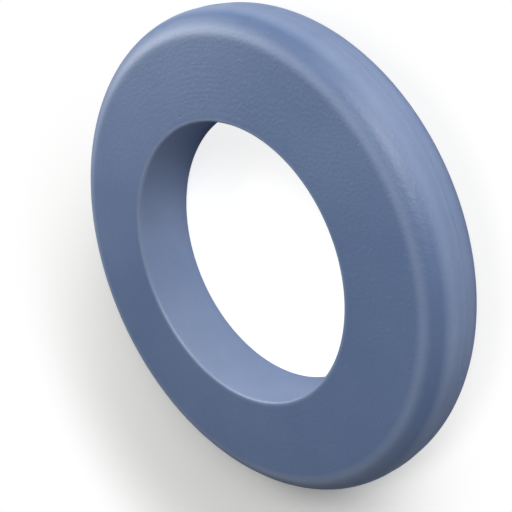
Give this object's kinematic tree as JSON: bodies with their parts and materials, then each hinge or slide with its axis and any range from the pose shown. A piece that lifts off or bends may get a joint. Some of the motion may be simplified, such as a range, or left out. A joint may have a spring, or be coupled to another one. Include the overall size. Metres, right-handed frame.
{
  "type": "sealing washer",
  "caption": "Thick flat sealing ring with a plain bore and a broadly rounded outer edge above and below, squeezed under a screw head to seal around the screw.",
  "frame": {"origin": "centre of the underside, on the axis of the bore", "axes": "+Z along the axis of the bore, up from the flat underside to the flat upper face; X and Y are any two directions across the ring"},
  "size_m": [0.018, 0.018, 0.0025],
  "materials": {
    "rubber": "matt moulded rubber, blue-grey"
  },
  "bodies": {
    "root": {"washer": "rubber"}
  },
  "joints": []
}
